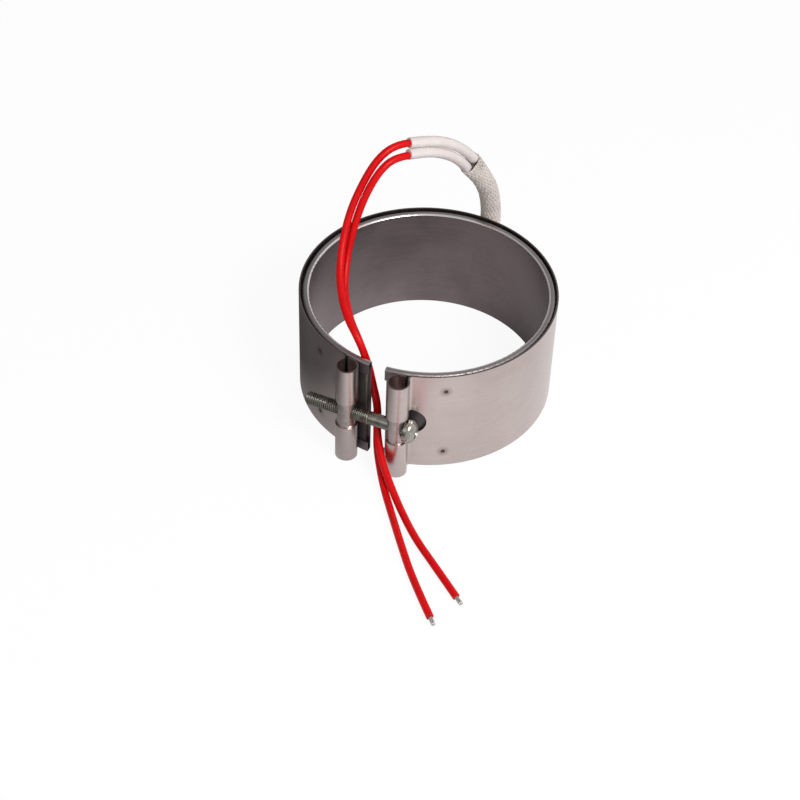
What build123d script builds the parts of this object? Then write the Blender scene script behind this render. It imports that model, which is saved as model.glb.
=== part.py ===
from build123d import *
import os
from math import acos, asin, atan2, cos, degrees, hypot, pi, radians, sin, sqrt, tan

# Band heater, clamped round a cylinder by one tangential screw.
# Millimetres. The origin is on the bore axis in the plane of the lower rim, +Z up along the bore.
# The split faces -Y and the leads come out at the back, at +Y.

# Heater body
bore_radius = 45.0
band_width = 45.0
split_gap = 6.0
sheath_sheet = 0.5
rim_bend = 0.75
rim_flange = 5.0
layer_clearance = 0.04
mica_sheet = 0.25
core_sheet = 0.3
ribbon_sheet = 0.1
cover_sheet = 0.3
mica_edge_clearance = 0.6
mica_end_inset = 1.5
ribbon_turns = 44
ribbon_width = 3.2
ribbon_edge_inset = 3.0
ribbon_end_inset = 6.0
ribbon_link_drop = 0.03

# Clamping strap
strap_sheet = 0.6
strap_slack = 0.85
strap_offset = 0.72
strap_offset_direction = 120.0
loop_outer_radius = 4.2
loop_spacing = 20.3
loop_bend_radius = 1.6
loop_free_end = 30.0
loop_sheath_clearance = 0.3
notch_height = 12.0
left_notch_end = 15.0
right_notch_end = 19.0
weld_radius = 0.9
weld_depth = 0.12
weld_from_edge = 7.2
weld_angle = 31.0

# Barrels and screw
barrel_clearance = 0.05
barrel_length = 22.0
barrel_edge = 0.4
screw_radius = 2.5
screw_length = 40.0
thread_clearance = 0.05
plain_hole_clearance = 0.25
head_radius = 4.75
head_height = 4.2
head_rim = 1.5
head_seat_clearance = 0.05
recess_width = 1.3
recess_span = 5.0
recess_depth = 2.2
screw_point = 0.8

# Lead outlet at the back
outlet_angle = 86.6
outlet_distance = 54.4
cap_sheet = 0.6
cap_low = 6.0
cap_high = 31.0
cap_flange = 6.0
cap_seat_clearance = 0.02
sleeve_radius = 4.0
sleeve_cap_clearance = 0.25
sleeve_seat = 20.0
window_width = 10.0
window_low = 8.0
window_high = 17.5
rivet_radius = 1.2
rivet_clearance = 0.05
rivet_head_radius = 2.0
rivet_head_height = 0.8
rivet_tail_height = 0.5
rivet_from_edge = 4.0
terminal_spacing = 5.0
terminal_height = 12.0
terminal_radius = 0.9
terminal_hole_clearance = 0.3
terminal_head_height = 0.5
terminal_head_radius = 1.6
pad_sheet = 0.5
pad_margin = 1.6
lug_sheet = 0.5
lug_radius = 2.2
stub_radius = 0.8
stub_inset = 1.6

# Free tubes and leads
tube_radius = 2.0
lead_radius = 1.4
wire_radius = 0.8
bare_length = 3.5

# Worked out from the sizes above
mica_inner_at = bore_radius + sheath_sheet + layer_clearance
ribbon_inner_at = mica_inner_at + mica_sheet + layer_clearance
core_at = ribbon_inner_at + ribbon_sheet + layer_clearance
ribbon_outer_at = core_at + core_sheet + layer_clearance
mica_outer_at = ribbon_outer_at + ribbon_sheet + layer_clearance
cover_inner = mica_outer_at + mica_sheet + layer_clearance
cover_outer = cover_inner + cover_sheet
flange_inner = cover_outer + layer_clearance
sheath_radius = flange_inner + sheath_sheet
strap_inner = sheath_radius + strap_slack
strap_radius = strap_inner + strap_sheet / 2
strap_centre = (
    strap_offset * cos(radians(strap_offset_direction)),
    strap_offset * sin(radians(strap_offset_direction)),
)
loop_radius = loop_outer_radius - strap_sheet / 2
loop_distance = sheath_radius + loop_sheath_clearance + loop_outer_radius
loop_x = loop_spacing / 2
loop_y = -sqrt(loop_distance**2 - loop_x**2)
mid_height = band_width / 2
barrel_radius = loop_outer_radius - strap_sheet - barrel_clearance
head_face = loop_x + barrel_radius + head_seat_clearance
outlet_x = outlet_distance * cos(radians(outlet_angle))
outlet_y = outlet_distance * sin(radians(outlet_angle))


def half_gap_angle(radius, inset=0.0):
    """Angle from the middle of the split to a layer's end, in degrees."""
    return degrees((split_gap / 2 + inset) / radius)


def ring_profile(profile, radius, inset=0.0):
    """Turns a section, drawn at +X in the XZ plane, round the bore up to both sides of the split."""
    half = half_gap_angle(radius, inset)
    solid = revolve(profile, axis=Axis.Z, revolution_arc=360 - 2 * half)
    return Rot(0, 0, -90 + half) * solid


def ring_layer(inner, thickness, low, high, inset=0.0):
    """A plain curved strip."""
    section = Plane.XZ * Pos(inner + thickness / 2, (low + high) / 2) * Rectangle(thickness, high - low)
    return ring_profile(section, inner, inset)


def sheath_section():
    """C-shaped section: inner wall, two rounded rims and the flanges folded down outside."""
    inner = bore_radius
    outer = sheath_radius
    sheet = sheath_sheet
    bend = rim_bend
    whole = Plane.XZ * Pos((inner + outer) / 2, mid_height) * RectangleRounded(outer - inner, band_width, bend)
    hollow = Plane.XZ * Pos((inner + outer) / 2, mid_height) * RectangleRounded(
        outer - inner - 2 * sheet, band_width - 2 * sheet, bend - sheet
    )
    opening = Plane.XZ * Pos(outer, mid_height) * Rectangle(2.5 * sheet, band_width - 2 * rim_flange)
    return whole - hollow - opening


def inner_sheath():
    return ring_profile(sheath_section(), bore_radius)


layer_low = sheath_sheet + mica_edge_clearance
layer_high = band_width - layer_low
terminal_angles = [
    outlet_angle + side * degrees(terminal_spacing / 2 / sheath_radius) for side in (-1, 1)
]


def radial_hole(radius, angle, height, start, end):
    """A cylinder that runs outwards from the bore axis at an angle."""
    rod = Pos((start + end) / 2, 0, 0) * Rot(0, 90, 0) * Cylinder(radius, end - start)
    return Rot(0, 0, angle) * Pos(0, 0, height) * rod


def with_terminal_holes(layer, start, end):
    for angle in terminal_angles:
        layer -= radial_hole(terminal_radius + terminal_hole_clearance, angle, terminal_height, start, end)
    return layer


def mica_inner():
    return ring_layer(mica_inner_at, mica_sheet, layer_low, layer_high, mica_end_inset)


def mica_core():
    low = layer_low + ribbon_edge_inset - ribbon_sheet
    return ring_layer(core_at, core_sheet, low, band_width - low, ribbon_end_inset)


def mica_outer():
    layer = ring_layer(mica_outer_at, mica_sheet, layer_low, layer_high, mica_end_inset)
    return with_terminal_holes(layer, mica_outer_at - 1, mica_outer_at + 1)


def outer_cover():
    layer = ring_layer(cover_inner, cover_sheet, layer_low, layer_high, mica_end_inset)
    return with_terminal_holes(layer, cover_inner - 1, cover_outer + 1)


def heating_ribbon():
    """Flat ribbon wound round the core: one rectangular turn at each step, linked along the lower edge."""
    core_low = layer_low + ribbon_edge_inset
    low = core_low - 2 * ribbon_sheet - layer_clearance
    high = band_width - low
    depth = ribbon_outer_at + ribbon_sheet - ribbon_inner_at
    middle = ribbon_inner_at + depth / 2
    usable = 360 - 2 * half_gap_angle(core_at, ribbon_end_inset + ribbon_width)
    step = usable / (ribbon_turns - 1)
    turn = Box(depth, ribbon_width, high - low)
    turn -= Box(depth - 2 * ribbon_sheet, ribbon_width + 1, high - low - 2 * ribbon_sheet)
    turns = []
    for number in range(ribbon_turns):
        angle = -90 + (360 - usable) / 2 + number * step
        turns.append(Rot(0, 0, angle) * Pos(middle, 0, (low + high) / 2) * turn)
    link_low = low - ribbon_link_drop
    link_section = Plane.XZ * Pos(middle, link_low + ribbon_sheet / 2) * Rectangle(depth - 2 * ribbon_sheet, ribbon_sheet)
    link = Rot(0, 0, -90 + (360 - usable) / 2) * revolve(link_section, axis=Axis.Z, revolution_arc=usable)
    return link.fuse(*turns)


def arc_edge(centre, radius, start, sweep):
    """Circular edge from a start angle through a signed sweep, both in degrees."""
    points = []
    for share in (0.0, 0.5, 1.0):
        angle = radians(start + share * sweep)
        points.append((centre[0] + radius * cos(angle), centre[1] + radius * sin(angle)))
    return ThreePointArc(*points)


def bearing(start, end):
    return degrees(atan2(end[1] - start[1], end[0] - start[0]))


def strap_arcs():
    """The strap's centre line as arcs, from the right loop's free end round the back to the left one."""
    right = (loop_x, loop_y)
    left = (-loop_x, loop_y)
    reach = strap_radius + loop_bend_radius
    span = loop_radius + loop_bend_radius
    arcs = []
    departures = []
    for loop, side in ((right, 1), (left, -1)):
        distance = hypot(loop[0] - strap_centre[0], loop[1] - strap_centre[1])
        turn = degrees(acos((distance**2 + reach**2 - span**2) / (2 * distance * reach)))
        angle = bearing(strap_centre, loop) + side * turn
        bend = (
            strap_centre[0] + reach * cos(radians(angle)),
            strap_centre[1] + reach * sin(radians(angle)),
        )
        departures.append(angle)
        inward = bearing(loop, strap_centre)
        free = inward - side * loop_free_end
        to_bend = bearing(loop, bend)
        around = (side * (to_bend - free)) % 360
        bend_sweep = (side * (bearing(bend, loop) - (angle + 180))) % 360
        if side == 1:
            arcs.append((loop, loop_radius, free, around))
            arcs.append((bend, loop_bend_radius, to_bend + 180, -bend_sweep))
        else:
            last = [
                (bend, loop_bend_radius, angle + 180, -bend_sweep),
                (loop, loop_radius, to_bend, around),
            ]
    start, end = departures
    arcs.append((strap_centre, strap_radius, start, (end - start) % 360))
    return arcs + last


def strap_outline():
    """The strap's plan: the centre line thickened to both sides and closed at the two free ends."""
    sides = []
    for offset in (strap_sheet / 2, -strap_sheet / 2):
        edges = []
        for centre, radius, start, sweep in strap_arcs():
            grown = radius + offset if sweep > 0 else radius - offset
            edges.append(arc_edge(centre, grown, start, sweep))
        sides.append(edges)
    outer, inner = sides
    ends = [Line(outer[0] @ 0, inner[0] @ 0), Line(outer[-1] @ 1, inner[-1] @ 1)]
    return make_face(Wire([*outer, *inner, *ends]))


def notch(end, rounded):
    """Cuts the slot in a loop that bares the barrel and lets the screw through."""
    side = 1 if end > 0 else -1
    reach = abs(end) - rounded
    depth = 4 * loop_outer_radius
    near = loop_x - loop_outer_radius - 1
    slot = Pos(side * (near + reach) / 2, loop_y, mid_height) * Box(reach - near, depth, notch_height)
    if rounded >= notch_height / 2:
        slot += Pos(side * reach, loop_y, mid_height) * Rot(90, 0, 0) * Cylinder(notch_height / 2, depth)
    return slot


def window():
    """Opening in the strap behind the cap, where the terminals come through."""
    middle = (window_low + window_high) / 2
    return (
        Rot(0, 0, outlet_angle)
        * Pos(sheath_radius + 2, 0, middle)
        * Box(8, window_width, window_high - window_low)
    )


def cap_rivet_places():
    """Angle and height of each rivet that holds the cap."""
    half_width = sleeve_radius + sleeve_cap_clearance + cap_sheet
    swing = degrees((half_width + cap_flange / 2) / strap_inner)
    return [
        (outlet_angle + side * swing, height)
        for side in (-1, 1)
        for height in (cap_low + rivet_from_edge, cap_high - rivet_from_edge)
    ]


def strap_rod(radius, angle, height, start, end):
    """A cylinder square to the strap at an angle, between two distances from the strap's own centre."""
    return Pos(*strap_centre, 0) * radial_hole(radius, angle, height, start, end)


def clamp_strap():
    strap = extrude(strap_outline(), band_width)
    strap -= notch(right_notch_end, notch_height / 2)
    strap -= notch(-left_notch_end, 0)
    strap -= window()
    outside = strap_inner + strap_sheet
    for angle, height in cap_rivet_places():
        strap -= strap_rod(rivet_radius + rivet_clearance, angle, height, outside - 2, outside + 2)
    for side in (-1, 1):
        for height in (weld_from_edge, band_width - weld_from_edge):
            strap -= strap_rod(weld_radius, -90 + side * weld_angle, height, outside - weld_depth, outside + 1)
    return strap


def barrel(x, hole):
    """Solid cross pin inside a loop, drilled across for the screw."""
    body = Cylinder(barrel_radius, barrel_length)
    body = chamfer(body.edges().filter_by(GeomType.CIRCLE), barrel_edge)
    body = Pos(x, loop_y, mid_height) * body
    return body - Pos(x, loop_y, mid_height) * Rot(0, 90, 0) * Cylinder(hole, 4 * barrel_radius)


def dome_arc(base, radius, height):
    """Arc of a shallow dome round the X axis, from its edge to its top."""
    sphere = (radius**2 + height**2) / (2 * height)
    centre = base + height - sphere
    middle = asin(radius / sphere) / 2
    through = (centre + sphere * cos(middle), sphere * sin(middle))
    return ThreePointArc((base, radius), through, (base + height, 0))


def clamp_screw():
    """Pan-head machine screw along X: shank with a chamfered point, domed head and a cross recess."""
    tip = head_face - screw_length
    outline = Polyline(
        (tip, 0),
        (tip, screw_radius - screw_point),
        (tip + screw_point, screw_radius),
        (head_face, screw_radius),
        (head_face, head_radius),
        (head_face + head_rim, head_radius),
    )
    dome = dome_arc(head_face + head_rim, head_radius, head_height - head_rim)
    axis_line = Line((head_face + head_height, 0), (tip, 0))
    section = make_face(Wire([*outline.edges(), dome, axis_line]))
    screw = revolve(section, axis=Axis.X)
    for turn in (0, 90):
        arm = Rot(turn, 0, 0) * Box(2 * recess_depth, recess_width, recess_span)
        screw -= Pos(head_face + head_height, 0, 0) * arm
    return Pos(0, loop_y, mid_height) * screw


def lead_cap():
    """Pressed hood on the strap: half-round channel open at the top, closed below, with two flanges."""
    inside = sleeve_radius + sleeve_cap_clearance
    outside = inside + cap_sheet
    height = cap_high - cap_low
    seat = strap_inner + strap_sheet + cap_seat_clearance
    middle = (cap_low + cap_high) / 2
    place = Rot(0, 0, outlet_angle) * Pos(outlet_distance, 0, 0)
    shell = Cylinder(outside, height) + Pos(-outside, 0, 0) * Box(2 * outside, 2 * outside, height)
    hollow = Cylinder(inside, height) + Pos(-outside, 0, 0) * Box(2 * outside, 2 * inside, height)
    flange_half = degrees((outside + cap_flange) / seat)
    section = Plane.XZ * Pos(seat + cap_sheet / 2, middle) * Rectangle(cap_sheet, height)
    flange = revolve(section, axis=Axis.Z, revolution_arc=2 * flange_half)
    flange = Pos(*strap_centre, 0) * Rot(0, 0, outlet_angle - flange_half) * flange
    cap = place * Pos(0, 0, middle) * shell + flange
    cap -= place * Pos(0, 0, middle + cap_sheet) * hollow
    cap -= Pos(*strap_centre, middle) * Cylinder(seat, 2 * height)
    for angle, place_height in cap_rivet_places():
        cap -= strap_rod(rivet_radius + rivet_clearance, angle, place_height, seat - 1, seat + 2)
    return cap


def lead_cap_rivets():
    """Four blind rivets: round head on the flange, shank through both sheets, tail inside the strap."""
    top = strap_inner + strap_sheet + cap_seat_clearance + cap_sheet
    tail = strap_inner - rivet_clearance
    tail_radius_out = 1.3 * rivet_radius
    corners = Polyline(
        (tail - rivet_tail_height, 0),
        (tail - rivet_tail_height, tail_radius_out),
        (tail, tail_radius_out),
        (tail, rivet_radius),
        (top, rivet_radius),
        (top, rivet_head_radius),
    )
    dome = dome_arc(top, rivet_head_radius, rivet_head_height)
    axis_line = Line((top + rivet_head_height, 0), (tail - rivet_tail_height, 0))
    rivet = revolve(make_face(Wire([*corners.edges(), dome, axis_line])), axis=Axis.X)
    return Compound(
        [Pos(*strap_centre, height) * Rot(0, 0, angle) * rivet for angle, height in cap_rivet_places()]
    )


pad_at = cover_outer + layer_clearance
lug_at = pad_at + pad_sheet + layer_clearance
terminal_top = lug_at + lug_sheet + layer_clearance


def terminal_pad():
    """Insulating mica pad between the heater's cover and the two terminals."""
    width = terminal_spacing + 2 * pad_margin + 1
    half = degrees(width / 2 / pad_at)
    low = terminal_height - lug_radius - 0.6
    high = terminal_height + lug_radius + 0.6
    section = Plane.XZ * Pos(pad_at + pad_sheet / 2, (low + high) / 2) * Rectangle(pad_sheet, high - low)
    pad = Rot(0, 0, outlet_angle - half) * revolve(section, axis=Axis.Z, revolution_arc=2 * half)
    for angle in terminal_angles:
        pad -= radial_hole(terminal_radius + rivet_clearance, angle, terminal_height, pad_at - 1, pad_at + 2)
    return pad


def terminal_posts():
    """Two rivets that bring the ribbon's ends out through the mica and the cover."""
    start = mica_outer_at - ribbon_sheet + 0.12
    posts = []
    for angle in terminal_angles:
        shank = radial_hole(terminal_radius, angle, terminal_height, start, terminal_top + 0.1)
        head = radial_hole(
            terminal_head_radius, angle, terminal_height, terminal_top, terminal_top + terminal_head_height
        )
        posts.append(shank + head)
    return Compound(posts)


def terminal_lug(angle):
    """Ring tongue with a stub of wire that leaves through the window and rises to the sleeve's mouth."""
    ring = radial_hole(lug_radius, angle, terminal_height, lug_at, lug_at + lug_sheet)
    ring -= radial_hole(terminal_radius + rivet_clearance, angle, terminal_height, lug_at - 1, lug_at + 2)
    start = lug_at + lug_sheet / 2 + stub_radius
    low = terminal_height + lug_radius - 0.2
    path = FilletPolyline(
        (start, 0, low),
        (start + 0.6, 0, low + 1.2),
        (outlet_distance - stub_inset, 0, sleeve_seat - 2.8),
        (outlet_distance - stub_inset, 0, sleeve_seat - layer_clearance),
        radius=0.55,
    )
    line = Wire(path.edges())
    stub = sweep(Plane(origin=line @ 0, z_dir=line % 0) * Circle(stub_radius), path=line)
    return ring + Rot(0, 0, angle) * stub


# Routes: points chosen by hand, first point at the seat
sleeve_route = [
    (outlet_x, outlet_y, sleeve_seat),
    (3.24, 54.34, 33.5),
    (3.1, 54.6, 48.5),
    (1.9, 49.4, 63.5),
    (-1.5, 39.7, 77.0),
]
tube_routes = {
    "lead_tube_1": [
        (-0.87, 41.24, 78.33),
        (-2.5, 36.3, 85.1),
        (-7.2, 28.9, 92.1),
        (-12.3, 20.9, 96.2),
        (-16.5, 15.1, 97.7),
    ],
    "lead_tube_2": [
        (-2.15, 38.11, 75.75),
        (-3.8, 33.2, 82.5),
        (-7.9, 25.9, 88.4),
        (-12.1, 17.9, 92.6),
        (-15.5, 12.3, 94.2),
    ],
}
lead_routes = {
    "lead_1": [
        (-16.53, 15.06, 97.71),
        (-20.0, 10.26, 98.95),
        (-24.2, 3.6, 95.4),
        (-27.4, -2.8, 86.8),
        (-29.5, -9.5, 76.9),
        (-29.4, -17.2, 66.8),
        (-25.8, -26.6, 59.2),
        (-19.4, -36.2, 56.6),
        (-8.6, -44.6, 58.6),
        (0.0, -46.85, 54.2),
        (1.7, -46.6, 44.8),
        (1.5, -46.6, 33.0),
        (1.45, -46.7, 20.6),
        (1.6, -49.6, 11.8),
        (5.2, -57.4, 8.0),
        (11.4, -61.6, 5.0),
        (19.8, -68.2, 1.5),
        (30.6, -79.8, 1.5),
        (42.4, -89.4, 1.5),
        (54.9, -99.3, 1.5),
    ],
    "lead_2": [
        (-15.53, 12.25, 94.21),
        (-18.7, 7.03, 95.7),
        (-22.0, 1.0, 92.6),
        (-25.0, -4.4, 84.4),
        (-26.8, -9.2, 74.4),
        (-27.2, -15.4, 63.6),
        (-24.6, -24.4, 55.6),
        (-18.8, -34.0, 53.0),
        (-10.2, -42.2, 55.2),
        (-2.9, -46.4, 51.4),
        (-1.3, -46.7, 42.6),
        (-1.5, -46.6, 31.4),
        (-1.45, -46.7, 20.4),
        (-1.3, -48.8, 11.4),
        (2.6, -56.2, 5.4),
        (9.0, -62.6, 2.0),
        (16.6, -70.4, 1.5),
        (27.4, -84.2, 1.5),
        (38.0, -98.6, 1.5),
        (50.2, -111.4, 1.5),
    ],
}


def corner_radii(name, route, radius):
    """Bend radius at each inner point: as large as its two runs allow."""
    points = [Vector(*point) for point in route]
    radii = []
    for before, corner, after in zip(points, points[1:], points[2:]):
        arriving = corner - before
        leaving = after - corner
        turn = radians(arriving.get_angle(leaving))
        radii.append(0.45 * min(arriving.length, leaving.length) / tan(turn / 2))
    print(name, "tightest bend", round(min(radii) / (2 * radius), 1), "diameters")
    return radii


def cord(name, route, radius):
    """Round cord along straight runs joined by tangent arcs."""
    path = FilletPolyline(*route, radius=corner_radii(name, route, radius))
    line = path if isinstance(path, Wire) else Wire(path.edges())
    section = Plane(origin=line @ 0, z_dir=line % 0) * Circle(radius)
    solid = sweep(section, path=line)
    print(name, "length", round(line.length, 1), "volume", round(solid.volume / (pi * radius**2 * line.length), 4))
    return solid


def bare_end(route):
    """Tinned strands that show past the insulation, in line with the lead's last run."""
    last = Vector(*route[-1])
    way = (last - Vector(*route[-2])).normalized()
    return extrude(Plane(origin=last, z_dir=way) * Circle(wire_radius), bare_length)


parts = {
    "inner_sheath": inner_sheath(),
    "mica_inner": mica_inner(),
    "mica_core": mica_core(),
    "heating_ribbon": heating_ribbon(),
    "mica_outer": mica_outer(),
    "outer_cover": outer_cover(),
    "clamp_strap": clamp_strap(),
    "threaded_barrel": barrel(-loop_x, screw_radius + thread_clearance),
    "plain_barrel": barrel(loop_x, screw_radius + plain_hole_clearance),
    "clamp_screw": clamp_screw(),
    "lead_cap": lead_cap(),
    "lead_cap_rivets": lead_cap_rivets(),
    "terminal_pad": terminal_pad(),
    "terminal_posts": terminal_posts(),
    "terminal_lug_1": terminal_lug(terminal_angles[0]),
    "terminal_lug_2": terminal_lug(terminal_angles[1]),
    "braided_sleeve": cord("braided_sleeve", sleeve_route, sleeve_radius),
}
for name, route in tube_routes.items():
    parts[name] = cord(name, route, tube_radius)
for name, route in lead_routes.items():
    parts[name] = cord(name, route, lead_radius)
    parts[name.replace("lead", "bare_end")] = bare_end(route)

os.makedirs("parts", exist_ok=True)
for name, shape in parts.items():
    export_step(shape, f"parts/{name}.step")
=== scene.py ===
"""Looks of the band heater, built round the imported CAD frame. Metres, +Z up."""

import math

import bmesh
import bpy
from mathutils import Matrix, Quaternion, Vector


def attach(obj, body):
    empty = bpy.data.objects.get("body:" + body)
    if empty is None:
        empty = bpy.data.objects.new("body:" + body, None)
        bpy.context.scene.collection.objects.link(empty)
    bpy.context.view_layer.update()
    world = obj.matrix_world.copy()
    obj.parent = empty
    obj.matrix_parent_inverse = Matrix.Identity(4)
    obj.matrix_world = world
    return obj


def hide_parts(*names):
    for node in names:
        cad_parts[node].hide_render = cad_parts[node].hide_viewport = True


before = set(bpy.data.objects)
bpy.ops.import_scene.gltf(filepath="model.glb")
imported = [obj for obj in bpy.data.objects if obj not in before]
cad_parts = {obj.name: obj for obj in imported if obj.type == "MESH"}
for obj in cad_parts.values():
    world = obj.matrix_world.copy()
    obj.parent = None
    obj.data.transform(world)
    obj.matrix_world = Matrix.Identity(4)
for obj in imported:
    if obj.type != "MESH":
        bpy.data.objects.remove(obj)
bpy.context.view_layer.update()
MM = 0.001
BAND = "band"
SCREW = "clamp_screw"
PHOTO_SIZE = 800
WHITE = (1, 1, 1)

# Sizes repeated from the CAD source, in millimetres
STRAP_CENTRE = (-0.36, 0.6235)
STRAP_OUTSIDE = 49.03
WELD_ANGLE = 31.0
WELD_HEIGHTS = (7.2, 37.8)
SCREW_Y = -51.0813
SCREW_Z = 22.5
SCREW_TIP = -26.25
SHANK_RADIUS = 2.5
HEAD_FACE = 13.75
HEAD_RADIUS = 4.75
HEAD_RIM = 1.5
HEAD_HEIGHT = 4.2
RECESS_DEPTH = 2.2
POINT_CHAMFER = 0.8
SLEEVE_RADIUS = 4.0
TUBE_RADIUS = 2.0
LEAD_RADIUS = 1.4
BARE_LENGTH = 3.5

# Inputs and outputs of a Mix node in its colour mode
MIX_FIRST, MIX_SECOND, MIX_RESULT = 6, 7, 2


def rgba(colour, shade=1.0):
    return (*(shade * c for c in colour), 1.0)


class Tree:
    """A node tree under construction."""

    def __init__(self, tree):
        self.tree = tree

    def add(self, kind, inputs=None, out=0, **settings):
        """Adds a node, sets its options and inputs, and returns one output."""
        node = self.tree.nodes.new("ShaderNode" + kind)
        for key, value in settings.items():
            setattr(node, key, value)
        for key, value in (inputs or {}).items():
            self.put(node.inputs[key], value)
        return node.outputs[out]

    def put(self, socket, value):
        if isinstance(value, bpy.types.NodeSocket):
            self.tree.links.new(value, socket)
        else:
            socket.default_value = value

    def math(self, operation, first, second=0.0):
        return self.add("Math", {0: first, 1: second}, operation=operation)

    def times(self, first, second):
        return self.math("MULTIPLY", first, second)

    def span(self, value, to, source=(0.0, 1.0)):
        """Maps value from the source range to another, clamped."""
        ends = {1: source[0], 2: source[1], 3: to[0], 4: to[1]}
        return self.add("MapRange", {0: value, **ends})

    def ray(self, kind):
        """1 on rays of a kind: Camera, Glossy or Transmission."""
        return self.add("LightPath", out=f"Is {kind} Ray")


class Graph(Tree):
    """A material's node tree, with its Principled shader."""

    def __init__(self, name):
        self.material = bpy.data.materials.new(name)
        self.material.use_nodes = True
        super().__init__(self.material.node_tree)
        self.shader = self.tree.nodes["Principled BSDF"]

    def where(self):
        return self.add("TexCoord", out="Object")

    def ramp(self, factor, stops):
        """Colour ramp; stops are (place, colour)."""
        output = self.add("ValToRGB", {"Fac": factor})
        elements = output.node.color_ramp.elements
        for element, (place, colour) in zip(elements, stops):
            element.position = place
            element.color = rgba(colour)
        return output

    def noise(self, vector, scale, detail=3.0, rough=0.5):
        inputs = {"Vector": vector, "Scale": scale, "Detail": detail, "Roughness": rough}
        return self.add("TexNoise", inputs)

    def mix(self, factor, first, second):
        inputs = {"Factor": factor, MIX_FIRST: first, MIX_SECOND: second}
        return self.add("Mix", inputs, out=MIX_RESULT, data_type="RGBA")

    def bump(self, height, strength, distance):
        inputs = {"Height": height, "Strength": strength, "Distance": distance}
        self.put(self.shader.inputs["Normal"], self.add("Bump", inputs))

    def finish(self, colour, roughness, metallic=0.0, **sockets):
        self.put(self.shader.inputs["Base Color"], colour)
        self.put(self.shader.inputs["Roughness"], roughness)
        self.put(self.shader.inputs["Metallic"], metallic)
        for key, value in sockets.items():
            self.put(self.shader.inputs[key.replace("_", " ")], value)
        return self.material


# Rolled sheet, in metres: where its rims, sheared edges and welds start and end
UNROLL_RADIUS = 0.048
BAND_MIDDLE = 0.0225
RIM_HEIGHT = (0.02195, 0.02225)
RIM_INNER_BEND = (0.04565, 0.04605)
CUT_EDGE_HEIGHT = (0.02242, 0.02247)
WELD_RING = (0.0007, 0.0011)
WELD_HALO = (0.0009, 0.0028)
SHEET_BUMP_DEPTH = 0.00004

# Rolled sheet: shares and shades
GRAIN_STRETCH = 0.035
SCUFF_FINENESS = 9
SCUFF_SHADE = 0.55
RIM_FLAT_SHARE = 0.65
RIM_FLAT_SHADE = 0.42
RIM_POLISH = 0.45
EDGE_ROUGHNESS = 0.6
WELD_TINT = (0.10, 0.075, 0.07)


def round_the_bore(g):
    """Coordinates unrolled round the bore: arc length, height and distance from the axis."""
    x, y, z = (g.add("SeparateXYZ", {0: g.where()}, out=axis) for axis in "XYZ")
    angle = g.math("ARCTAN2", x, g.times(y, -1.0))
    reach = g.math("SQRT", g.math("ADD", g.times(x, x), g.times(y, y)))
    return g.times(angle, UNROLL_RADIUS), z, reach


def rolled_steel(name, dark, light, rough, grain, blotch, marks=(), rim_highlight=None, edge_gap_shade=None):
    """Rolled stainless sheet: fine grain along the strip, soft blotches and scuffs.

    marks are the places of spot welds. The rim colour is a painted highlight along the inner bend
    of the folded rims, and a shade of it colours their flat top. The edge colour darkens the
    sheared edges: painted shade of the gap between the strap and the sheath's rims.
    """
    g = Graph(name)
    arc, z, reach = round_the_bore(g)
    along = g.add("CombineXYZ", {0: g.times(arc, GRAIN_STRETCH), 1: z, 2: reach})
    plain = g.add("CombineXYZ", {0: arc, 1: z, 2: reach})
    fine = g.noise(along, grain, detail=4.0, rough=0.62)
    wide = g.noise(plain, blotch, detail=3.0, rough=0.55)
    scuff = g.noise(plain, blotch * SCUFF_FINENESS, detail=4.0, rough=0.7)
    tone = g.math("ADD", g.times(fine, 0.3), g.times(wide, 0.7))
    colour = g.ramp(tone, [(0.3, dark), (0.72, light)])
    spots = g.span(scuff, to=(0.0, 0.35), source=(0.62, 0.78))
    colour = g.mix(spots, colour, rgba(dark, SCUFF_SHADE))
    roughness = g.math("ADD", g.span(tone, to=rough, source=(0.35, 0.65)), g.times(spots, 0.2))
    from_middle = g.math("ABSOLUTE", g.math("SUBTRACT", z, BAND_MIDDLE))
    if rim_highlight:
        # A painted highlight along the rims' inner bend; the flat top gets a shade of the same
        # colour.
        top = g.span(from_middle, to=(0.0, 1.0), source=RIM_HEIGHT)
        bend_highlight = g.times(top, g.span(reach, to=(1.0, 0.0), source=RIM_INNER_BEND))
        colour = g.mix(g.times(top, RIM_FLAT_SHARE), colour, rgba(rim_highlight, RIM_FLAT_SHADE))
        colour = g.mix(bend_highlight, colour, rgba(rim_highlight))
        roughness = g.times(roughness, g.span(bend_highlight, to=(1.0, RIM_POLISH)))
    if edge_gap_shade:
        # Painted shade: the strap's top and bottom edges are darkened for the gap against the
        # sheath's rims.
        gap_shade_mask = g.span(from_middle, to=(0.0, 0.9), source=CUT_EDGE_HEIGHT)
        colour = g.mix(gap_shade_mask, colour, rgba(edge_gap_shade))
        roughness = g.math("MAXIMUM", roughness, g.times(gap_shade_mask, EDGE_ROUGHNESS))
    for place in marks:
        away = g.add("VectorMath", {0: g.where(), 1: place}, out="Value", operation="DISTANCE")
        ring = g.span(away, to=(1.0, 0.0), source=WELD_RING)
        halo = g.span(away, to=(0.45, 0.0), source=WELD_HALO)
        colour = g.mix(g.math("MAXIMUM", ring, halo), colour, rgba(WELD_TINT))
        roughness = g.math("MAXIMUM", roughness, g.times(ring, EDGE_ROUGHNESS))
    g.bump(g.math("ADD", fine, g.times(wide, 0.4)), strength=0.12, distance=SHEET_BUMP_DEPTH)
    return g.finish(colour, roughness, metallic=1.0)


def weld_places():
    """Spot-weld marks on the strap, in metres."""
    places = []
    for side in (-1, 1):
        angle = math.radians(-90 + side * WELD_ANGLE)
        x = STRAP_CENTRE[0] + STRAP_OUTSIDE * math.cos(angle)
        y = STRAP_CENTRE[1] + STRAP_OUTSIDE * math.sin(angle)
        places += [Vector((x, y, z)) * MM for z in WELD_HEIGHTS]
    return places


TARNISH_SHADE = 0.3
PLATING_BUMP_DEPTH = 0.00003


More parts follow.
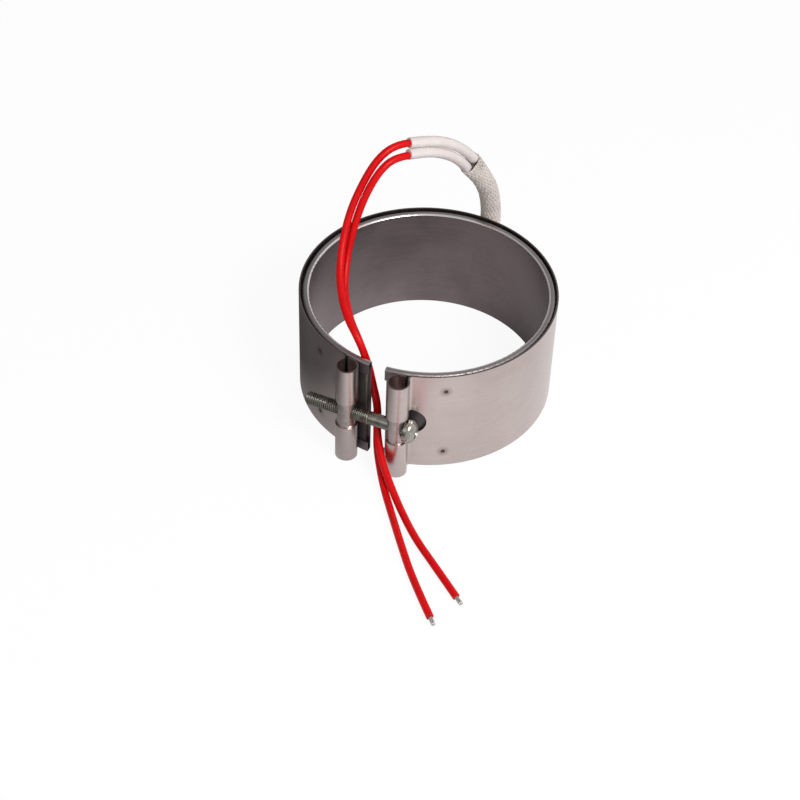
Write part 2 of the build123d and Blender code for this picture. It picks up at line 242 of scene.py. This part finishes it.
def plated(name, dark, light, rough, tarnish=0.5):
    """Plated or plain small metal parts with a soft mottle and small tarnish spots."""
    g = Graph(name)
    place = g.where()
    wide = g.noise(place, 420.0, detail=3.0, rough=0.6)
    speck = g.noise(place, 1900.0, detail=4.0, rough=0.65)
    colour = g.ramp(wide, [(0.32, dark), (0.66, light)])
    spots = g.span(speck, to=(0.0, tarnish), source=(0.56, 0.7))
    colour = g.mix(spots, colour, rgba(dark, TARNISH_SHADE))
    roughness = g.math("ADD", g.span(wide, to=rough, source=(0.3, 0.7)), g.times(spots, 0.25))
    g.bump(speck, strength=0.15, distance=PLATING_BUMP_DEPTH)
    return g.finish(colour, roughness, metallic=1.0)


SKIN_GRAIN_FINENESS = 14


def soft_skin(name, dark, light, rough, scale, bump, **sockets):
    """Non-metal surface: two close tones, a fine grain and matching roughness.

    bump is the grain's strength and depth.
    """
    g = Graph(name)
    place = g.where()
    wide = g.noise(place, scale, detail=3.0, rough=0.55)
    grain = g.noise(place, scale * SKIN_GRAIN_FINENESS, detail=4.0, rough=0.6)
    tone = g.math("ADD", g.times(wide, 0.65), g.times(grain, 0.35))
    colour = g.ramp(tone, [(0.3, dark), (0.7, light)])
    g.bump(grain, strength=bump[0], distance=bump[1])
    return g.finish(colour, g.span(tone, to=rough, source=(0.3, 0.7)), **sockets)


SHEATH = rolled_steel(
    "sheath_steel",
    dark=(0.150, 0.118, 0.124),
    light=(0.250, 0.205, 0.212),
    rough=(0.4, 0.54),
    grain=900.0,
    blotch=60.0,
    # The rim colour is a painted highlight on the rims' inner bend.
    rim_highlight=(0.66, 0.62, 0.61),
)
STRAP = rolled_steel(
    "strap_steel",
    dark=(0.49, 0.41, 0.395),
    light=(0.63, 0.55, 0.535),
    rough=(0.24, 0.36),
    grain=1500.0,
    blotch=34.0,
    marks=weld_places(),
    # Dark edges: painted shade of the gap between the strap and the sheath's rims.
    edge_gap_shade=(0.10, 0.08, 0.075),
)
COVER = rolled_steel(
    "cover_steel",
    dark=(0.10, 0.09, 0.09),
    light=(0.18, 0.165, 0.16),
    rough=(0.5, 0.62),
    grain=900.0,
    blotch=60.0,
)
ZINC = plated("zinc_barrel", (0.36, 0.31, 0.30), (0.50, 0.44, 0.43), rough=(0.24, 0.36))
BRIGHT = plated(
    "bright_screw", (0.20, 0.185, 0.16), (0.42, 0.405, 0.37), rough=(0.18, 0.3), tarnish=0.15
)
# A darker copy of the screw's plating for the threaded part: painted shade of the grooved tip.
SHADED_THREAD = plated(
    "screw_thread_shaded", (0.15, 0.14, 0.12), (0.29, 0.28, 0.25), rough=(0.22, 0.34), tarnish=0.12
)
RIVET = plated("rivet_steel", (0.40, 0.40, 0.39), (0.60, 0.60, 0.59), rough=(0.2, 0.36))
LUG = plated("lug_metal", (0.45, 0.40, 0.28), (0.62, 0.56, 0.40), rough=(0.3, 0.45))
RIBBON = plated("ribbon_metal", (0.26, 0.25, 0.25), (0.40, 0.39, 0.39), rough=(0.35, 0.5))
TINNED = plated("tinned_strands", (0.42, 0.40, 0.38), (0.68, 0.66, 0.63), rough=(0.25, 0.4))
MICA = soft_skin(
    "mica_board",
    dark=(0.17, 0.15, 0.12),
    light=(0.30, 0.27, 0.22),
    rough=(0.35, 0.6),
    scale=140.0,
    bump=(0.3, 0.00005),
)
GLASS_YARN = soft_skin(
    "glass_yarn",
    dark=(0.47, 0.41, 0.37),
    light=(0.66, 0.60, 0.56),
    rough=(0.55, 0.75),
    scale=260.0,
    bump=(0.35, 0.00008),
    Sheen_Weight=0.2,
    Sheen_Roughness=0.5,
)
TUBE = soft_skin(
    "white_silicone",
    dark=(0.60, 0.535, 0.52),
    light=(0.70, 0.635, 0.62),
    rough=(0.38, 0.5),
    scale=90.0,
    bump=(0.1, 0.00003),
    Subsurface_Weight=0.12,
    Subsurface_Scale=0.001,
)
RED = soft_skin(
    "red_silicone",
    dark=(0.50, 0.0, 0.001),
    light=(0.66, 0.001, 0.003),
    rough=(0.3, 0.42),
    scale=160.0,
    bump=(0.12, 0.00004),
    Specular_IOR_Level=0.16,
)
# Painted shade: a darker tone for the plug inside the sleeve's mouth.
PAINTED_MOUTH_SHADE = soft_skin(
    "sleeve_mouth_shade",
    dark=(0.26, 0.24, 0.225),
    light=(0.38, 0.35, 0.33),
    rough=(0.7, 0.85),
    scale=260.0,
    bump=(0.2, 0.00005),
)

NODE_FINISH = {
    "inner_sheath": SHEATH,
    "mica_inner": MICA,
    "mica_core": MICA,
    "heating_ribbon": RIBBON,
    "mica_outer": MICA,
    "outer_cover": COVER,
    "clamp_strap": STRAP,
    "threaded_barrel": ZINC,
    "plain_barrel": ZINC,
    "lead_cap": STRAP,
    "lead_cap_rivets": RIVET,
    "terminal_pad": MICA,
    "terminal_posts": RIVET,
    "terminal_lug_1": LUG,
    "terminal_lug_2": LUG,
    "clamp_screw": BRIGHT,
    "braided_sleeve": GLASS_YARN,
    "lead_tube_1": TUBE,
    "lead_tube_2": TUBE,
    "lead_1": RED,
    "lead_2": RED,
    "bare_end_1": TINNED,
    "bare_end_2": TINNED,
}
for node_name, material in NODE_FINISH.items():
    node_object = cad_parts[node_name]
    node_object.data.materials.clear()
    node_object.data.materials.append(material)


def place_in_scene(name, data):
    item = bpy.data.objects.new(name, data)
    bpy.context.scene.collection.objects.link(item)
    return item


def link(name, data, material, body):
    """Puts a new piece in the scene, on its body and in its material slot."""
    piece = place_in_scene(name, data)
    piece.data.materials.clear()
    piece.data.materials.append(material)
    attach(piece, body)
    return piece


def smooth(data):
    for polygon in data.polygons:
        polygon.use_smooth = True


def mesh_from(name, verts, faces):
    data = bpy.data.meshes.new(name)
    data.from_pydata([tuple(v) for v in verts], [], faces)
    data.validate()
    smooth(data)
    return data


def tube_faces(first, rows, sides):
    """Faces of a closed tube whose rings of verts follow one another from the first vert."""
    faces = []
    for row in range(rows - 1):
        a = first + row * sides
        b = a + sides
        for i in range(sides):
            j = (i + 1) % sides
            faces.append((a + i, a + j, b + j, b + i))
    last = first + (rows - 1) * sides
    faces.append(tuple(first + i for i in reversed(range(sides))))
    faces.append(tuple(last + i for i in range(sides)))
    return faces


def rings_to_mesh(name, rings):
    """Skins a list of rings with equal point counts and closes both ends."""
    verts = [p for ring in rings for p in ring]
    return mesh_from(name, verts, tube_faces(0, len(rings), len(rings[0])))


# Routes of the sleeve and the tubes, repeated from the CAD source, in metres
SLEEVE_ROUTE = [
    (0.003226, 0.054304, 0.0200),
    (0.00324, 0.05434, 0.0335),
    (0.0031, 0.0546, 0.0485),
    (0.0019, 0.0494, 0.0635),
    (-0.0015, 0.0397, 0.0770),
]
TUBE_ROUTES = [
    [
        (-0.00087, 0.04124, 0.07833),
        (-0.0025, 0.0363, 0.0851),
        (-0.0072, 0.0289, 0.0921),
        (-0.0123, 0.0209, 0.0962),
        (-0.0165, 0.0151, 0.0977),
    ],
    [
        (-0.00215, 0.03811, 0.07575),
        (-0.0037, 0.0333, 0.0825),
        (-0.0078, 0.0261, 0.0889),
        (-0.0121, 0.0184, 0.0930),
        (-0.0155, 0.0126, 0.0945),
    ],
]

# Routes of the leads, in metres: inside the bore, out under the screw and along the ground,
# within 10 mm of the CAD leads, which keep clear of the bore
LEAD_ROUTES = [
    [
        (-0.01653, 0.01506, 0.09771),
        (-0.02000, 0.01026, 0.09895),
        (-0.02420, 0.00360, 0.09540),
        (-0.02740, -0.00280, 0.08680),
        (-0.02930, -0.00950, 0.07720),
        (-0.02840, -0.01780, 0.06680),
        (-0.02440, -0.02740, 0.05920),
        (-0.01750, -0.03640, 0.05440),
        (-0.00950, -0.04260, 0.05080),
        (-0.00530, -0.04300, 0.04100),
        (-0.00380, -0.04210, 0.03100),
        (-0.00040, -0.04440, 0.02260),
        (0.00110, -0.04840, 0.01560),
        (0.00360, -0.05240, 0.01240),
        (0.00760, -0.05780, 0.00900),
        (0.01260, -0.06260, 0.00540),
        (0.01980, -0.06920, 0.00150),
        (0.03060, -0.08020, 0.00150),
        (0.04240, -0.08940, 0.00150),
        (0.05490, -0.09930, 0.00150),
    ],
    [
        (-0.01553, 0.01225, 0.09421),
        (-0.01870, 0.00703, 0.09570),
        (-0.02200, 0.00100, 0.09260),
        (-0.02500, -0.00440, 0.08440),
        (-0.02680, -0.00920, 0.07440),
        (-0.02700, -0.01540, 0.06360),
        (-0.02400, -0.02440, 0.05520),
        (-0.01740, -0.03360, 0.05080),
        (-0.01020, -0.04010, 0.04760),
        (-0.00680, -0.04050, 0.03860),
        (-0.00540, -0.03980, 0.02960),
        (-0.00180, -0.04180, 0.02020),
        (0.00010, -0.04620, 0.01260),
        (0.00240, -0.05120, 0.00880),
        (0.00610, -0.05680, 0.00520),
        (0.01090, -0.06340, 0.00220),
        (0.01670, -0.07100, 0.00150),
        (0.02700, -0.08460, 0.00150),
        (0.03800, -0.09860, 0.00150),
        (0.05020, -0.11140, 0.00150),
    ],
]
CURVE_STEPS = 14
CURVE_ROUNDING = 7


def nurbs(name, route, radius=0.0):
    """Open NURBS curve of order 3 that has the route's points as its control points."""
    data = bpy.data.curves.new(name, "CURVE")
    data.dimensions = "3D"
    data.resolution_u = CURVE_STEPS
    data.bevel_depth = radius
    data.bevel_resolution = CURVE_ROUNDING
    data.use_fill_caps = True
    spline = data.splines.new("NURBS")
    spline.points.add(len(route) - 1)
    for point, place in zip(spline.points, route):
        point.co = (*place, 1.0)
    spline.order_u = 3
    spline.use_endpoint_u = True
    spline.use_smooth = True
    return data


def follow(route):
    """Points read from the route's NURBS spline, in order."""
    guide = place_in_scene("guide", nurbs("guide", route))
    bpy.context.view_layer.update()
    line = bpy.data.meshes.new_from_object(guide)
    points = [v.co.copy() for v in line.vertices]
    bpy.data.objects.remove(guide)
    bpy.data.meshes.remove(line)
    return points


def stations(points, step):
    """Even stations along a line: (place, tangent, side, other side, distance), with no twist."""
    lengths = [0.0]
    for before, after in zip(points, points[1:]):
        lengths.append(lengths[-1] + (after - before).length)
    count = max(2, round(lengths[-1] / step))
    found = []
    side = None
    index = 0
    for number in range(count + 1):
        distance = lengths[-1] * number / count
        while index < len(points) - 2 and lengths[index + 1] < distance:
            index += 1
        run = lengths[index + 1] - lengths[index]
        share = (distance - lengths[index]) / run
        place = points[index].lerp(points[index + 1], share)
        before = points[max(index - 1, 0)]
        after = points[min(index + 2, len(points) - 1)]
        tangent = (after - before).normalized()
        if side is None:
            side = tangent.orthogonal().normalized()
        side = (side - tangent * side.dot(tangent)).normalized()
        found.append((place, tangent, side, tangent.cross(side), distance))
    return found


# Sleeve: a hollow-mouthed core that widens over the pair of tubes, and a braid of flat yarns
STATION_STEP = 0.4 * MM
CORE_RADIUS = (SLEEVE_RADIUS - 0.34) * MM
CORE_SIDES = 48
THROAT_RADIUS = CORE_RADIUS - 0.35 * MM
THROAT_PLUG = 0.99
THROAT_STATIONS = 9
MOUTH_LENGTH = 14 * MM
MOUTH_WIDENING = 0.16
MOUTH_NARROWING = 0.22
sleeve_line = follow(SLEEVE_ROUTE)
sleeve_stations = stations(sleeve_line, STATION_STEP)
sleeve_length = sleeve_stations[-1][4]
pair_way = (Vector(TUBE_ROUTES[0][0]) - Vector(TUBE_ROUTES[1][0])).normalized()


def sleeve_reach(distance, direction):
    """How far the sleeve reaches sideways, in radii: round, then oval at the mouth."""
    opened = max(0.0, 1 - (sleeve_length - distance) / MOUTH_LENGTH)
    opened = opened * opened * (3 - 2 * opened)
    along_pair = abs(direction.dot(pair_way))
    wide = 1 + MOUTH_WIDENING * opened
    narrow = 1 - MOUTH_NARROWING * opened
    return math.sqrt((wide * along_pair) ** 2 + narrow**2 * (1 - along_pair**2))


def sleeve_ring(station, radius):
    place, _, side, other, distance = station
    ring = []
    for i in range(CORE_SIDES):
        turn = 2 * math.pi * i / CORE_SIDES
        direction = side * math.cos(turn) + other * math.sin(turn)
        ring.append(place + direction * radius * sleeve_reach(distance, direction))
    return ring


mouth_stations = sleeve_stations[-THROAT_STATIONS:]
core_rings = [sleeve_ring(s, CORE_RADIUS) for s in sleeve_stations]
core_rings += [sleeve_ring(s, THROAT_RADIUS) for s in reversed(mouth_stations)]
# A darker plug a little inside the mouth: painted shade of the sleeve's hollow mouth.
plug_rings = [sleeve_ring(s, THROAT_RADIUS * THROAT_PLUG) for s in mouth_stations[:2]]
sleeve_core = link(
    "sleeve_core", rings_to_mesh("sleeve_core", core_rings), GLASS_YARN, BAND
)
mouth_shade_plug = link("sleeve_mouth_shade", rings_to_mesh("sleeve_mouth_shade", plug_rings), PAINTED_MOUTH_SHADE, BAND)

# Braid: each yarn's section is given in half widths and thicknesses
YARNS = 18
YARN_HALF_WIDTH = 0.66 * MM
YARN_THICKNESS = 0.14 * MM
YARN_SECTION = ((-1.0, -0.9), (-0.62, 0.55), (0.0, 1.0), (0.62, 0.55), (1.0, -0.9))
YARN_STANDOFF = 0.17 * MM
YARN_LIFT = 0.08 * MM
BRAID_SLOPE = 0.34
turn_rate = BRAID_SLOPE / (SLEEVE_RADIUS * MM)


def braid():
    """Yarns that wind both ways round the core and pass over and under each other."""
    verts = []
    faces = []
    for hand in (-1, 1):
        for yarn in range(YARNS):
            faces += tube_faces(len(verts), len(sleeve_stations), len(YARN_SECTION))
            for place, tangent, side, other, distance in sleeve_stations:
                turn = 2 * math.pi * yarn / YARNS + hand * turn_rate * distance
                lift = hand * math.cos(YARNS * turn_rate * distance) * YARN_LIFT
                direction = side * math.cos(turn) + other * math.sin(turn)
                around = other * math.cos(turn) - side * math.sin(turn)
                across = (around - tangent * hand * BRAID_SLOPE).normalized()
                reach = CORE_RADIUS * sleeve_reach(distance, direction) + YARN_STANDOFF + lift
                middle = place + direction * reach
                for offset, height in YARN_SECTION:
                    sideways = across * offset * YARN_HALF_WIDTH
                    verts.append(middle + sideways + direction * YARN_THICKNESS * height)
    return mesh_from("sleeve_braid", verts, faces)


sleeve_braid = link("sleeve_braid", braid(), GLASS_YARN, BAND)
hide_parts("braided_sleeve")

# White tubes and red leads
TUBE_LENGTHS = (0.0373, 0.0353)
LEAD_LENGTHS = (0.2040, 0.2050)
for number, (route, length) in enumerate(zip(TUBE_ROUTES, TUBE_LENGTHS), 1):
    curve = nurbs("white_tube", route, TUBE_RADIUS * MM)
    piece = link(f"white_tube_{number}", curve, TUBE, BAND)
    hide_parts(f"lead_tube_{number}")

STRAND_RADIUS = 0.27 * MM
STRAND_SPACING = 0.53 * MM
STRAND_TWIST = 1.1
STRAND_ROWS = 9
STRAND_SIDES = 10
OUTER_STRANDS = 6


def strands(start, way):
    """Seven tinned strands with a slight twist, cut square."""
    side = way.orthogonal().normalized()
    other = way.cross(side)

    def spoke(angle):
        return side * math.cos(angle) + other * math.sin(angle)

    centres = [(0.0, 0.0)]
    centres += [(STRAND_SPACING, 2 * math.pi * i / OUTER_STRANDS) for i in range(OUTER_STRANDS)]
    verts = []
    faces = []
    for reach, angle in centres:
        faces += tube_faces(len(verts), STRAND_ROWS, STRAND_SIDES)
        for row in range(STRAND_ROWS):
            share = row / (STRAND_ROWS - 1)
            along = way * (BARE_LENGTH * MM * share)
            centre = start + along + spoke(angle + STRAND_TWIST * share) * reach
            for i in range(STRAND_SIDES):
                verts.append(centre + spoke(2 * math.pi * i / STRAND_SIDES) * STRAND_RADIUS)
    return mesh_from("strands", verts, faces)


for number, (route, length) in enumerate(zip(LEAD_ROUTES, LEAD_LENGTHS), 1):
    end = Vector(route[-1])
    way = (end - Vector(route[-2])).normalized()
    bare = link(f"strands_{number}", strands(end, way), TINNED, BAND)
    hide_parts(f"bare_end_{number}")
    curve = nurbs("red_lead", route, LEAD_RADIUS * MM)
    piece = link(f"red_lead_{number}", curve, RED, BAND)
    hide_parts(f"lead_{number}")

# Screw, in millimetres: threaded towards its point, plain under the head
PITCH = 0.8
THREAD_DEPTH = 0.46
THREAD_END = -0.5
THREAD_FADE = 0.8
THREAD_STEP = 0.08
TOOTH_ROOT = 0.18
TOOTH_FLANK = 0.62
SHANK_INTO_HEAD = 0.5
TURN_STEPS = 40


def clamp(value):
    return min(1.0, max(0.0, value))


def thread_radius(x, turn):
    """Outer radius of the shank at a place along it and an angle round it."""
    tooth = abs(((x / PITCH - turn / (2 * math.pi)) % 1.0) * 2 - 1)
    height = clamp((tooth - TOOTH_ROOT) / TOOTH_FLANK)
    fade = clamp((THREAD_END - x) / THREAD_FADE)
    radius = SHANK_RADIUS - THREAD_DEPTH * fade * (1 - height)
    point = SHANK_RADIUS - POINT_CHAMFER + (x - SCREW_TIP)
    return min(radius, point)


def ring_round_screw(x, radius):
    """Ring round the screw's axis; radius is a function of the angle."""
    ring = []
    for i in range(TURN_STEPS):
        turn = 2 * math.pi * i / TURN_STEPS
        r = radius(turn)
        ring.append(Vector((x, SCREW_Y + r * math.cos(turn), SCREW_Z + r * math.sin(turn))) * MM)
    return ring


row_count = round((THREAD_END - SCREW_TIP) / THREAD_STEP)
shank_rings = []
for row in range(row_count + 1):
    x = SCREW_TIP + (THREAD_END - SCREW_TIP) * row / row_count
    shank_rings.append(ring_round_screw(x, lambda turn: thread_radius(x, turn)))
shank_rings.append(ring_round_screw(HEAD_FACE + SHANK_INTO_HEAD, lambda turn: SHANK_RADIUS))
shank = link("screw_shank", rings_to_mesh("screw_shank", shank_rings), SHADED_THREAD, SCREW)

# Pan head: flat face with a rounded edge, straight rim and dome; steps above the face, radius
HEAD_EDGE = ((0.0, 0.9), (0.0, HEAD_RADIUS - 0.25), (0.07, HEAD_RADIUS - 0.07))
HEAD_SIDE = ((0.25, HEAD_RADIUS), (HEAD_RIM, HEAD_RADIUS))
DOME_STEPS = 14
DOME_FULLNESS = 0.86


def pan_head():
    rows = [*HEAD_EDGE, *HEAD_SIDE]
    for step in range(1, DOME_STEPS):
        bend = math.pi / 2 * step / DOME_STEPS
        rise = HEAD_RIM + (HEAD_HEIGHT - HEAD_RIM) * math.sin(bend)
        rows.append((rise, HEAD_RADIUS * math.cos(bend) ** DOME_FULLNESS))
    rings = [ring_round_screw(HEAD_FACE + x, lambda turn: radius) for x, radius in rows]
    return rings_to_mesh("screw_head", rings)


# Cross recess: half length and half width of each bar at its bottom and above the dome
RECESS_BOTTOM = (1.0, 0.35)
RECESS_TOP = (2.6, 0.62)
RECESS_OVERSHOOT = 0.4
RECESS_TURN = math.radians(28)
SQUARE = ((-1, -1), (1, -1), (1, 1), (-1, 1))


def cross_cutter():
    """Two tapered bars that cut the cross recess."""
    bm = bmesh.new()
    top = HEAD_FACE + HEAD_HEIGHT
    levels = ((top - RECESS_DEPTH, RECESS_BOTTOM), (top + RECESS_OVERSHOOT, RECESS_TOP))
    for turn in (RECESS_TURN, RECESS_TURN + math.pi / 2):
        corners = []
        for x, (long_half, short_half) in levels:
            for a, b in SQUARE:
                y = a * long_half * math.cos(turn) - b * short_half * math.sin(turn)
                z = a * long_half * math.sin(turn) + b * short_half * math.cos(turn)
                corners.append(bm.verts.new(Vector((x, SCREW_Y + y, SCREW_Z + z)) * MM))
        low, high = corners[:4], corners[4:]
        bm.faces.new(reversed(low))
        bm.faces.new(high)
        for i in range(4):
            j = (i + 1) % 4
            bm.faces.new((low[i], low[j], high[j], high[i]))
    bmesh.ops.recalc_face_normals(bm, faces=bm.faces)
    data = bpy.data.meshes.new("cutter")
    bm.to_mesh(data)
    bm.free()
    return data


def cut(data, cutter_data):
    """The mesh less the cutter's, as a new mesh."""
    whole = place_in_scene("whole", data)
    cutter = place_in_scene("cutter", cutter_data)
    boolean = whole.modifiers.new("cut", "BOOLEAN")
    boolean.operation = "DIFFERENCE"
    boolean.solver = "EXACT"
    boolean.use_self = True
    boolean.object = cutter
    bpy.context.view_layer.update()
    evaluated = whole.evaluated_get(bpy.context.evaluated_depsgraph_get())
    result = bpy.data.meshes.new_from_object(evaluated)
    for item in (whole, cutter):
        bpy.data.objects.remove(item)
    return result


HEAD_SHARP_ANGLE = math.radians(38)
THREAD_SHARP_ANGLE = math.radians(60)
head = link("screw_head", cut(pan_head(), cross_cutter()), BRIGHT, SCREW)
smooth(head.data)
head.data.set_sharp_from_angle(angle=HEAD_SHARP_ANGLE)
shank.data.set_sharp_from_angle(angle=THREAD_SHARP_ANGLE)
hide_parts("clamp_screw")

# Stage: pale floor, soft lamps, white surroundings. Reflections see the floor and the surroundings
# brighter towards +X outside the band, and the floor brighter towards -X in the bore: the floor's
# glow in reflections is a painted reflection, painted by position.
FLOOR_HALF = 3
PAPER_GRAIN = 30.0
PAPER_TONES = ((0.9, 0.9, 0.9), (0.92, 0.92, 0.92))
CAMERA_GLOW = 0.92
GLOSSY_GLOW = 0.9
BORE_EDGE = 0.047
OUTSIDE_GLOW = {"to": (0.03, 0.95), "source": (-0.056, 0.026)}
BORE_GLOW = {"to": (1.0, 0.05), "source": (-0.03, 0.042)}
DIFFUSE_LEVEL = 0.46
SIDE_LEVEL = {"to": (0.22, 1.06), "source": (-0.9, 0.5)}


def stage_floor():
    corners = [(a * FLOOR_HALF, b * FLOOR_HALF, 0) for a, b in SQUARE]
    floor = place_in_scene("floor", mesh_from("floor", corners, [(0, 1, 2, 3)]))
    g = Graph("floor_paper")
    grain = g.noise(g.where(), PAPER_GRAIN)
    g.finish(g.ramp(grain, [(0.3, PAPER_TONES[0]), (0.7, PAPER_TONES[1])]), roughness=0.9)
    x = g.add("SeparateXYZ", {0: g.where()}, out="X")
    reach = g.add("VectorMath", {0: g.where()}, out="Value", operation="LENGTH")
    outside = g.math("GREATER_THAN", reach, BORE_EDGE)
    inside = g.math("SUBTRACT", 1.0, outside)
    # Painted reflection: the floor's glow for glossy rays, darker towards -X outside the bore.
    outside_glow = g.times(outside, g.span(x, **OUTSIDE_GLOW))
    side = g.math("ADD", outside_glow, g.times(inside, g.span(x, **BORE_GLOW)))
    grey = g.add("CombineColor", {0: side, 1: side, 2: side})
    seen = g.mix(g.ray("Glossy"), rgba(WHITE), grey)
    glow = g.add("Emission", {"Color": seen})
    share = g.math(
        "ADD", g.times(g.ray("Camera"), CAMERA_GLOW), g.times(g.ray("Glossy"), GLOSSY_GLOW)
    )
    blend = g.add("MixShader", {0: share, 1: g.shader.outputs[0], 2: glow})
    g.put(g.tree.nodes["Material Output"].inputs["Surface"], blend)
    floor.data.materials.append(g.material)


def surroundings():
    world = bpy.data.worlds.new("studio")
    bpy.context.scene.world = world
    world.use_nodes = True
    g = Tree(world.node_tree)
    glossy = g.ray("Glossy")
    direct = g.math("MAXIMUM", g.ray("Camera"), g.ray("Transmission"))
    level = g.span(g.math("MAXIMUM", direct, glossy), to=(DIFFUSE_LEVEL, 1.0))
    x = g.add("SeparateXYZ", {0: g.add("TexCoord", out="Generated")}, out="X")
    side = g.span(x, **SIDE_LEVEL)
    background = g.tree.nodes["Background"]
    g.put(background.inputs["Strength"], g.add("Mix", {0: glossy, 2: level, 3: side}))
    g.put(background.inputs["Color"], rgba(WHITE))


LAMP_AIM = Vector((0, 0, 0.03))


def lamp(name, place, size, power):
    data = bpy.data.lights.new(name, "AREA")
    data.shape = "DISK"
    data.size = size
    data.energy = power
    item = place_in_scene(name, data)
    item.location = place
    item.rotation_mode = "QUATERNION"
    item.rotation_quaternion = (LAMP_AIM - Vector(place)).to_track_quat("-Z", "Y")


stage_floor()
surroundings()
lamp("key", (0.55, -0.30, 0.70), size=0.4, power=6.5)
lamp("fill", (-0.3, -0.7, 0.6), size=0.5, power=0.5)

# Camera at the photograph's view
AZIMUTH = math.radians(21.6)
ELEVATION = math.radians(43.43)
DISTANCE = 0.72975
FOCAL_PIXELS = 1855.8
ROLL = math.radians(2.72)
CENTRE_PIXEL = (425.0, 376.3)
SENSOR = 36.0
CLIP_START = 0.01
CLIP_END = 50.0

camera_data = bpy.data.cameras.new("camera")
camera = place_in_scene("camera", camera_data)
back = Vector(
    (
        math.sin(AZIMUTH) * math.cos(ELEVATION),
        -math.cos(AZIMUTH) * math.cos(ELEVATION),
        math.sin(ELEVATION),
    )
)
camera.location = back * DISTANCE
camera.rotation_mode = "QUATERNION"
camera.rotation_quaternion = (-back).to_track_quat("-Z", "Y") @ Quaternion((0, 0, 1), ROLL)
camera_data.sensor_width = SENSOR
camera_data.lens = FOCAL_PIXELS * SENSOR / PHOTO_SIZE
camera_data.shift_x = -(CENTRE_PIXEL[0] - PHOTO_SIZE / 2) / PHOTO_SIZE
camera_data.shift_y = (CENTRE_PIXEL[1] - PHOTO_SIZE / 2) / PHOTO_SIZE
camera_data.clip_start = CLIP_START
camera_data.clip_end = CLIP_END
bpy.context.scene.camera = camera
bpy.context.scene.view_settings.view_transform = "Standard"
